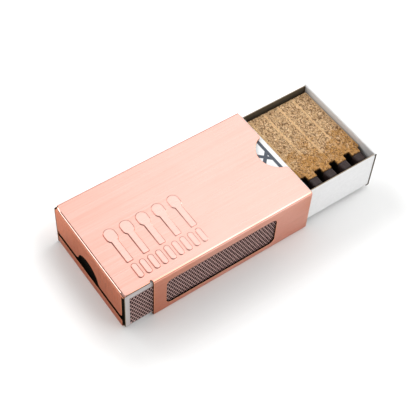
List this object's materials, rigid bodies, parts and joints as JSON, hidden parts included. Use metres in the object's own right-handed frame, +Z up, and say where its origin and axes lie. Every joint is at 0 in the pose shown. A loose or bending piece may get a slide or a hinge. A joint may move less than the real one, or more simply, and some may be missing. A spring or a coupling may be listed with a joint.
{
  "type": "matchbox sleeve",
  "caption": "Bent copper-finished metal sleeve round a card matchbox; its tray of firelighter sticks slides out of the open end, and an arch in the end flap lets a finger push the box out.",
  "frame": {"origin": "middle of the metal sleeve's underside, on the surface that it rests on", "axes": "+X along the sleeve from the flap end to the open end, where the tray comes out; +Y from the windowed front wall to the back wall; +Z up"},
  "size_m": [0.1618, 0.066, 0.0314],
  "materials": {
    "copper_sheet": "fine brushed copper colour, satin",
    "printed_card": "coated white card, dark slate print",
    "striker": "matte dark maroon cells in a pale lattice",
    "tray_card": "white outside, raw grey-brown board inside",
    "stick_wood": "rough pressed wood fibre",
    "head_compound": "matte dark match compound"
  },
  "bodies": {
    "sleeve": {"metal_sleeve": "copper_sheet"},
    "card_box": {"card_sleeve": "printed_card", "striker_front": "striker", "striker_back": "striker"},
    "tray": {"tray": "tray_card", "firelighter_bottom_01": "stick_wood", "firelighter_bottom_02": "stick_wood", "firelighter_bottom_03": "stick_wood", "firelighter_bottom_04": "stick_wood", "firelighter_bottom_05": "stick_wood", "firelighter_bottom_06": "stick_wood", "firelighter_bottom_07": "stick_wood", "firelighter_bottom_08": "stick_wood", "firelighter_bottom_09": "stick_wood", "firelighter_bottom_10": "stick_wood", "firelighter_bottom_11": "stick_wood", "firelighter_top_01": "stick_wood", "firelighter_top_02": "stick_wood", "firelighter_top_03": "stick_wood", "firelighter_top_04": "stick_wood", "firelighter_top_05": "stick_wood", "firelighter_top_06": "stick_wood", "firelighter_top_07": "stick_wood", "firelighter_top_08": "stick_wood", "firelighter_top_09": "stick_wood", "firelighter_top_10": "stick_wood", "firelighter_top_11": "stick_wood", "match_head_bottom_01": "head_compound", "match_head_bottom_02": "head_compound", "match_head_bottom_03": "head_compound", "match_head_bottom_04": "head_compound", "match_head_bottom_05": "head_compound", "match_head_bottom_06": "head_compound", "match_head_bottom_07": "head_compound", "match_head_bottom_08": "head_compound", "match_head_bottom_09": "head_compound", "match_head_bottom_10": "head_compound", "match_head_bottom_11": "head_compound", "match_head_top_01": "head_compound", "match_head_top_02": "head_compound", "match_head_top_03": "head_compound", "match_head_top_04": "head_compound", "match_head_top_05": "head_compound", "match_head_top_06": "head_compound", "match_head_top_07": "head_compound", "match_head_top_08": "head_compound", "match_head_top_09": "head_compound", "match_head_top_10": "head_compound", "match_head_top_11": "head_compound"}
  },
  "joints": [
    {"name": "card_box_slide", "type": "slide", "parent": "sleeve", "child": "card_box", "axis": [1, 0, 0], "range_m": [0, 0.1]},
    {"name": "tray_slide", "type": "slide", "parent": "card_box", "child": "tray", "axis": [1, 0, 0], "range_m": [-0.046, 0.055]}
  ]
}
